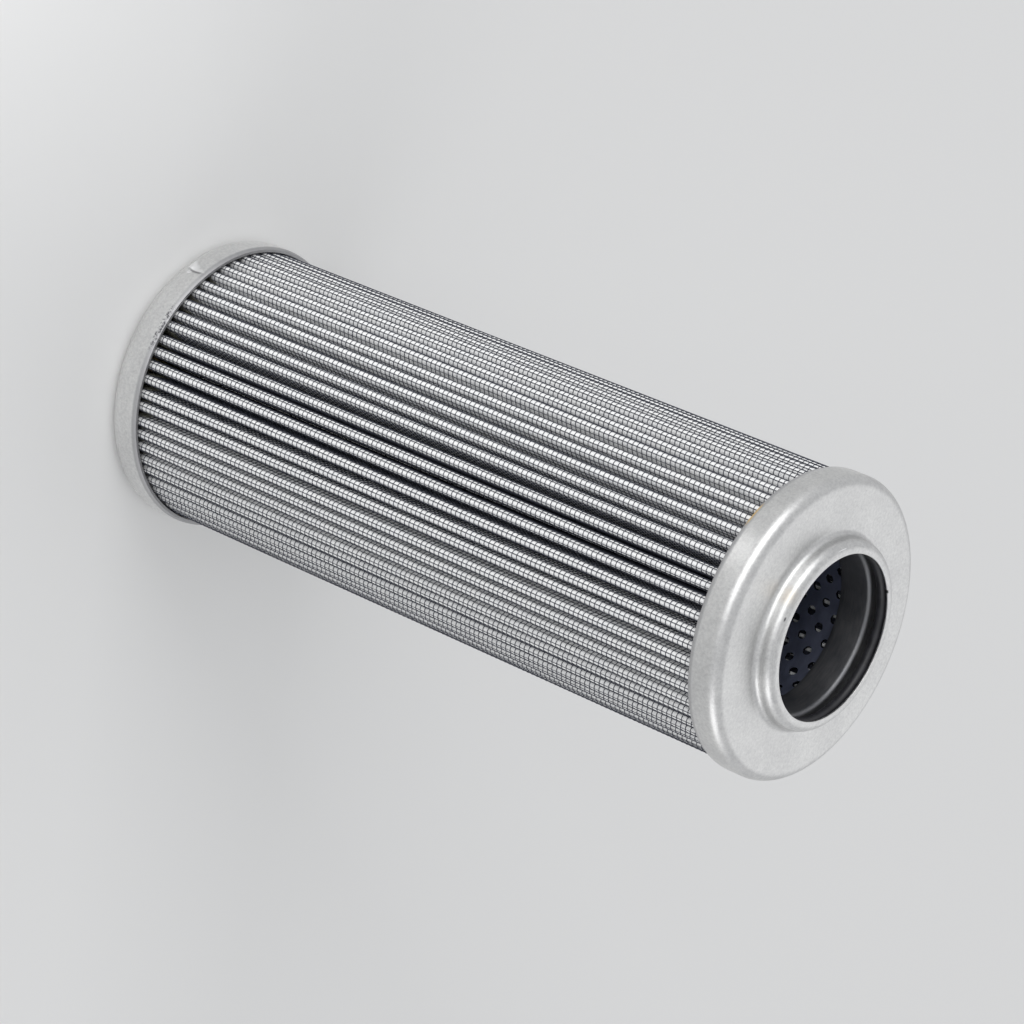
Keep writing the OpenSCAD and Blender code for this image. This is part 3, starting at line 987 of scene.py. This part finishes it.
def pleat_outline(depth, tip_steps, root_steps):
    """The closed outline of the strip, depth metres below its outermost face."""
    points = []
    for i in range(PLEATS):
        tip = polar(TIP_C_R, tip_angle(i))
        before, after = polar(ROOT_C_R, root_angle(i - 1)), polar(ROOT_C_R, root_angle(i))
        following = polar(TIP_C_R, tip_angle(i + 1))
        outwards = math.atan2(tip.y, tip.x)
        rising = math.atan2(tip.y - before.y, tip.x - before.x) - leg_side(tip, before)
        falling = math.atan2(after.y - tip.y, after.x - tip.x) + leg_side(tip, after)
        next_rising = math.atan2(following.y - after.y, following.x - after.x) - leg_side(following, after)
        start = outwards + wrapped(rising - math.pi / 2 - outwards)
        end = outwards + wrapped(falling - math.pi / 2 - outwards)
        points += fold(tip, TIP_OUTER_R - depth, start, end, tip_steps)
        inwards = math.atan2(after.y, after.x) + math.pi
        start = inwards + wrapped(falling + math.pi / 2 - inwards)
        end = inwards + wrapped(next_rising + math.pi / 2 - inwards)
        points += fold(after, ROOT_OUTER_R + depth, start, end, root_steps)
    return points


print(f"{PLEATS} pleats, with {len(pleat_outline(0.0, 8, 2))} points round the fleece")

# %% [markdown]
# ## Pleats that lean
#
# Pleats are set by hand and bonded one end at a time, so their tips never stand quite straight. `lean` moves
# the points of a finished mesh round the axis, not at all at the roots and fully at the tips, so that the
# tips bow to one side and come back a little at the closed cap. One side of the pack bows more than the
# other. Every layer and every wire goes through it, so they stay clear of each other as in the straight pack.

# %% Lean of the pleats
PACK_LOW, PACK_HIGH = pack_low.z, pack_high.z
BOW_MEAN, BOW_SWING = math.radians(0.85), math.radians(0.50)
BOW_TURN = math.radians(15.0)
BOW_SPAN = 0.62 * math.pi


def lean(mesh):
    points = np.empty(len(mesh.vertices) * 3)
    mesh.vertices.foreach_get("co", points)
    x, y, z = points.reshape(-1, 3).T
    radius, angle = np.hypot(x, y), np.arctan2(y, x)
    outwards = np.clip((radius - ROOT_C_R) / (TIP_C_R - ROOT_C_R), 0.0, 1.0)
    downwards = np.clip((PACK_HIGH - z) / (PACK_HIGH - PACK_LOW), 0.0, 1.0)
    most = BOW_MEAN - BOW_SWING * np.sin(angle + BOW_TURN)
    angle = angle - most * outwards * np.sin(BOW_SPAN * downwards) ** 2
    moved = np.stack((radius * np.cos(angle), radius * np.sin(angle), z), axis=1)
    mesh.vertices.foreach_set("co", moved.ravel())
    mesh.update()
    return mesh


print(f"the tips lean by up to {math.degrees(BOW_MEAN + BOW_SWING):.1f} degrees")

# %% [markdown]
# ## The fleece and the layers behind it
#
# The white fleece is a closed pleated wall. Its points carry a UV map that counts wires, along the strip and
# along the height, so that its finish can swell a little in each mesh of the wire that presses on it. So the
# wires' spacing is settled first.

# %% Spacing of the wires
WIRE_R = 0.105 * MM
HOOP_PITCH = 1.5 * MM
LENGTH_PITCH = 1.4 * MM
HOOP_DEPTH = 0.13 * MM
LENGTH_DEPTH = 0.06 * MM
LENGTH_STEPS = (12, 2)
SWAY = 0.30 * MM


def strip_run(depth, tip_steps, root_steps):
    """Distances along the strip to each point of its outline, and back to the first point."""
    points = pleat_outline(depth, tip_steps, root_steps)
    run = [0.0]
    for here, there in zip(points, points[1:] + points[:1]):
        run.append(run[-1] + (there - here).length)
    return run


length_wire_count = round(strip_run(LENGTH_DEPTH, *LENGTH_STEPS)[-1] / LENGTH_PITCH)
print(f"{length_wire_count} lengthwise wires go round the strip")

# %% [markdown]
# `pleated_wall` builds one layer: the outline at its outer depth and at its inner depth, row by row up the
# height, and a band of faces that closes each end. The rows let `lean` bend the wall smoothly.

# %% Pleated wall
ROWS = 12


def pleated_wall(name, depth, thickness, tip_steps, root_steps):
    outer = pleat_outline(depth, tip_steps, root_steps)
    inner = pleat_outline(depth + thickness, tip_steps, root_steps)
    run = strip_run(LENGTH_DEPTH, tip_steps, root_steps)
    along = [length_wire_count * (place - SWAY / 2) / run[-1] for place in run]
    made = bmesh.new()
    uv = made.loops.layers.uv.new("strip")
    heights = [PACK_LOW + (PACK_HIGH - PACK_LOW) * k / ROWS for k in range(ROWS + 1)]
    walls = [[[made.verts.new((p.x, p.y, z)) for p in side] for z in heights] for side in (outer, inner)]
    pairs = [(k, (k + 1) % len(outer)) for k in range(len(outer))]
    for wall, turned_in in zip(walls, (False, True)):
        for row in range(ROWS):
            for k, n in pairs:
                corners = [(row, k), (row, n), (row + 1, n), (row + 1, k)]
                if turned_in:
                    corners.reverse()
                face = made.faces.new([wall[r][c] for r, c in corners])
                face.smooth = True
                for loop, (r, c) in zip(face.loops, corners):
                    place = along[k + 1] if c == n else along[k]
                    loop[uv].uv = (place, (heights[r] - PACK_LOW) / HOOP_PITCH)
    for row, turned_in in ((0, True), (ROWS, False)):
        for k, n in pairs:
            quad = [walls[0][row][k], walls[0][row][n], walls[1][row][n], walls[1][row][k]]
            if turned_in:
                quad.reverse()
            made.faces.new(quad)
    return lean(keep(made, bpy.data.meshes.new(name)))


# %% [markdown]
# The glass fibre, the inner fleece and the inner mesh follow the cover fleece at their own depths, made in
# the same way. They hardly show, so their folds take fewer steps.

# %% Fleece and inner layers
FLEECE_DEPTH = 0.27 * MM
FLEECE_T = 0.1 * MM
LAYER_GAP = 0.02 * MM
FIBRE_T = 0.3 * MM
INNER_MESH_T = 0.2 * MM

depth = FLEECE_DEPTH
for name, solid, thickness, steps, material, slot in (
        ("white_cover_fleece", "outer_fleece", FLEECE_T, (8, 2), cover_fleece, "white_fleece"),
        ("glass_fibre_strip", "glass_fibre_layer", FIBRE_T, (5, 1), fleece, "glass_fibre"),
        ("inner_fleece_strip", "inner_fleece", FLEECE_T, (5, 1), fleece, "white_fleece"),
        ("inner_mesh_strip", "inner_wire_mesh", INNER_MESH_T, (5, 1), wire, "coated_wire")):
    mesh = pleated_wall(name, depth, thickness, *steps)
    new_piece(name, mesh, material, solid, slot=slot)
    depth += thickness + LAYER_GAP

# %% [markdown]
# ## The woven wire
#
# The outer mesh is woven from hard wire about 0.2 mm thick, so fine that more than a hundred hoops lie
# between the caps. A texture could only draw it. Real wires also shade the fleece, stand out at the
# outline of the pack and stay right from every side. Two trees make them. The first copies the pleat outline
# up the height, lets a smooth noise lift each copy a little, and sweeps it to a hoop.

# %% Hoop wires
HOOP_PIECES = 4
hoops = int((PACK_HIGH - PACK_LOW) / HOOP_PITCH)


def outline_curve(name, depth, tip_steps, root_steps):
    """The pleat outline as a closed curve at height 0."""
    points = pleat_outline(depth, tip_steps, root_steps)
    curve = bpy.data.curves.new(name, "CURVE")
    curve.dimensions = "3D"
    spline = curve.splines.new("POLY")
    spline.points.add(len(points) - 1)
    for point, p in zip(spline.points, points):
        point.co = (p.x, p.y, 0.0, 1.0)
    spline.use_cyclic_u = True
    return bpy.data.objects.new(name, curve)


def hoops_tree():
    tree, given, out = repeat_tree("hoop_wires", {
        "Outline": "Object", "Count": "Int", "Lowest": "Float", "Pitch": "Float", "Wire Radius": "Float",
        "Sway": "Float", "Material": "Material"})
    outline = node(tree, "GeometryNodeObjectInfo", Object=given["Outline"]).outputs["Geometry"]
    stack = node(tree, "GeometryNodeMeshLine", Count=given["Count"],
                 in2=node(tree, "ShaderNodeCombineXYZ", in2=given["Lowest"]).outputs[0],
                 Offset=node(tree, "ShaderNodeCombineXYZ", in2=given["Pitch"]).outputs[0]).outputs[0]
    hoops = node(tree, "GeometryNodeInstanceOnPoints", Points=stack, Instance=outline).outputs[0]
    hoops = node(tree, "GeometryNodeRealizeInstances", Geometry=hoops).outputs[0]
    place = node(tree, "GeometryNodeInputPosition").outputs[0]
    noise = node(tree, "ShaderNodeTexNoise", Vector=place, Scale=90.0, Detail=1.0).outputs[0]
    lift = times(tree, minus(tree, noise, 0.5), given["Sway"])
    offset = node(tree, "ShaderNodeCombineXYZ", in2=lift).outputs[0]
    hoops = node(tree, "GeometryNodeSetPosition", Geometry=hoops, Offset=offset).outputs[0]
    hoops = node(tree, "GeometryNodeSetCurveNormal", mode="Z_UP", Curve=hoops).outputs[0]
    round_wire = node(tree, "GeometryNodeCurvePrimitiveCircle", Resolution=4, Radius=given["Wire Radius"])
    wires = node(tree, "GeometryNodeCurveToMesh", Curve=hoops, in1=round_wire.outputs[0]).outputs[0]
    dress(tree, wires, given["Material"], out[0])
    return tree


hoop_line = outline_curve("hoop_line", HOOP_DEPTH, 5, 1)
shares = [hoops * k // HOOP_PIECES for k in range(HOOP_PIECES + 1)]
hoop_tree = hoops_tree()
for number, (first, last) in enumerate(zip(shares, shares[1:]), 1):
    name = f"hoop_wires_{number}"
    mesh = run_tree(name, hoop_tree, {
        "Outline": hoop_line, "Count": last - first, "Lowest": PACK_LOW + (first + 0.5) * HOOP_PITCH,
        "Pitch": HOOP_PITCH, "Wire Radius": WIRE_R, "Sway": SWAY, "Material": wire})
    new_piece(name, lean(mesh), wire, "outer_wire_mesh", slot="coated_wire")

# %% [markdown]
# The second tree makes the lengthwise wires. It sets out straight lines on a flat strip, and bends the strip
# to the outline: the distance along the strip becomes a place on the outline's curve. So each wire follows
# its own place on a fold, and a little noise in that distance makes it sway as it goes up.

# %% Tree of the lengthwise wires
def length_wires_tree():
    tree, given, out = repeat_tree("lengthwise_wires", {
        "Outline": "Object", "Count": "Int", "Spacing": "Float", "Lowest": "Float", "Height": "Float",
        "Steps": "Int", "Wire Radius": "Float", "Sway": "Float", "Material": "Material"})
    outline = node(tree, "GeometryNodeObjectInfo", Object=given["Outline"]).outputs["Geometry"]
    step = maths(tree, "DIVIDE", given["Height"], minus(tree, given["Steps"], 1.0))
    upright = node(tree, "GeometryNodeMeshLine", Count=given["Steps"],
                   Offset=node(tree, "ShaderNodeCombineXYZ", in2=step).outputs[0]).outputs[0]
    feet = node(tree, "GeometryNodeMeshLine", Count=given["Count"],
                Offset=node(tree, "ShaderNodeCombineXYZ", in0=given["Spacing"]).outputs[0]).outputs[0]
    lines = node(tree, "GeometryNodeInstanceOnPoints", Points=feet, Instance=upright).outputs[0]
    lines = node(tree, "GeometryNodeRealizeInstances", Geometry=lines).outputs[0]
    place = node(tree, "GeometryNodeInputPosition").outputs[0]
    x, y, z = xyz(tree, place)
    noise = node(tree, "ShaderNodeTexNoise", Vector=place, Scale=45.0, Detail=1.0).outputs[0]
    along = plus(tree, x, times(tree, minus(tree, noise, 0.5), given["Sway"]))
    along = plus(tree, along, times(tree, given["Sway"], 0.5))
    sample = node(tree, "GeometryNodeSampleCurve", mode="LENGTH", Curves=outline)
    sample.use_all_curves = True
    tree.links.new(along, sample.inputs["Length"])
    px, py, pz = xyz(tree, sample.outputs["Position"])
    height = plus(tree, z, given["Lowest"])
    bent = node(tree, "ShaderNodeCombineXYZ", in0=px, in1=py, in2=height).outputs[0]
    lines = node(tree, "GeometryNodeSetPosition", Geometry=lines, Position=bent).outputs[0]
    curves = node(tree, "GeometryNodeMeshToCurve", Mesh=lines).outputs[0]
    round_wire = node(tree, "GeometryNodeCurvePrimitiveCircle", Resolution=4, Radius=given["Wire Radius"])
    wires = node(tree, "GeometryNodeCurveToMesh", Curve=curves, in1=round_wire.outputs[0]).outputs[0]
    dress(tree, wires, given["Material"], out[0])
    return tree


# %% Lengthwise wires
length_line = outline_curve("length_line", LENGTH_DEPTH, *LENGTH_STEPS)
spacing = (strip_run(LENGTH_DEPTH, *LENGTH_STEPS)[-1] - SWAY) / length_wire_count
mesh = run_tree("lengthwise_wires", length_wires_tree(), {
    "Outline": length_line, "Count": length_wire_count, "Spacing": spacing, "Lowest": PACK_LOW,
    "Height": PACK_HIGH - PACK_LOW, "Steps": 12, "Wire Radius": WIRE_R, "Sway": SWAY, "Material": wire})
new_piece("lengthwise_wires", lean(mesh), wire, "outer_wire_mesh", slot="coated_wire")

# %% [markdown]
# ## The solids that stay
#
# The adhesive in the two caps hardly shows, and its solids already have the right shape. A new mesh would
# gain nothing, so they only take a finish: one assignment to each solid's material slot.

# %% Finish of the adhesive
for name in ("closed_end_adhesive", "open_end_adhesive"):
    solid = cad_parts[name]
    solid.data.materials.clear()
    solid.data.materials.append(adhesive)
print("the adhesive beds keep their solids")

# %% [markdown]
# ## Floor
#
# A pale floor reaches past every view. It lies a hair below the element, so that the two never share a plane,
# which would flicker. It is matt, because a shiny floor would throw the lamps back at a low camera.

# %% Floor
FLOOR_R = 6.0
FLOOR_DROP = 0.02 * MM


def plain_floor():
    made = bmesh.new()
    just_below = Matrix.Translation((0.0, 0.0, -FLOOR_DROP))
    bmesh.ops.create_circle(made, cap_ends=True, segments=96, radius=FLOOR_R, matrix=just_below)
    mesh = keep(made, bpy.data.meshes.new("floor"))
    floor = bpy.data.objects.new("floor", mesh)
    bpy.context.scene.collection.objects.link(floor)
    material, tree, shader = finish("pale_floor")
    shader.inputs["Base Color"].default_value = (0.74, 0.74, 0.735, 1)
    shader.inputs["Roughness"].default_value = 0.9
    shader.inputs["Specular IOR Level"].default_value = 0.0
    mesh.materials.append(material)
    floor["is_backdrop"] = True


plain_floor()
print(f"the floor is {2 * FLOOR_R:.0f} m across")

# %% [markdown]
# ## Light
#
# Satin metal shows the room more than the lamps, so the world is an even pale grey. A fold of fleece shows
# the lamps, so they are wide and stand well off: one at the side that is up in the photograph, one by the
# camera, one at the other side and one that faces the flat face. A small one near the floor draws the bright
# patch on the skirt. Each lamp is given by how bright its own face is, where 1 is a white wall, because that
# stays the same when a lamp is moved off and made larger.

# %% Lamps and world
ROOM_COLOUR = (0.97, 0.98, 1.0, 1)
ROOM_LIGHT = 0.70
MIDDLE = (0.0, 0.0, 0.123)


def softbox(name, place, aim, size, brightness):
    """A square lamp at a place that faces another, with a face of this brightness."""
    lamp = bpy.data.lights.new(name, "AREA")
    lamp.size = size
    lamp.energy = brightness * math.pi * size ** 2
    holder = bpy.data.objects.new(name, lamp)
    bpy.context.scene.collection.objects.link(holder)
    holder.location = place
    holder.rotation_mode = "QUATERNION"
    holder.rotation_quaternion = (Vector(aim) - Vector(place)).to_track_quat("-Z", "Y")
    holder.visible_camera = False


for name, place, aim, size, brightness in (
        ("upper_softbox", (1.86, -3.22, 1.62), MIDDLE, 2.4, 2.9),
        ("camera_softbox", (3.54, -1.28, 1.50), MIDDLE, 2.4, 1.8),
        ("lower_softbox", (0.90, 3.34, 1.12), MIDDLE, 1.8, 1.7),
        ("face_softbox", (-2.38, 0.56, 1.88), MIDDLE, 2.2, 0.42),
        ("skirt_softbox", (0.157, -0.148, 0.075), (0.05, -0.045, 0.02), 0.06, 3.0)):
    softbox(name, place, aim, size, brightness)
    print(f"{name}: {size} m wide, {(Vector(aim) - Vector(place)).length:.2f} m off")

world = bpy.data.worlds.new("room")
bpy.context.scene.world = world
world.use_nodes = True
world.node_tree.nodes["Background"].inputs["Color"].default_value = ROOM_COLOUR
world.node_tree.nodes["Background"].inputs["Strength"].default_value = ROOM_LIGHT
bpy.context.scene.view_settings.view_transform = "Standard"

# %% [markdown]
# ## Sizes written out
#
# The dressed element has to be as large as the solids are.

# %% Write the sizes and finish
made_low, made_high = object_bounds()
for word, low, high in (("cad", cad_low, cad_high), ("made", made_low, made_high)):
    print(word, [round(v / MM, 2) for v in high - low])
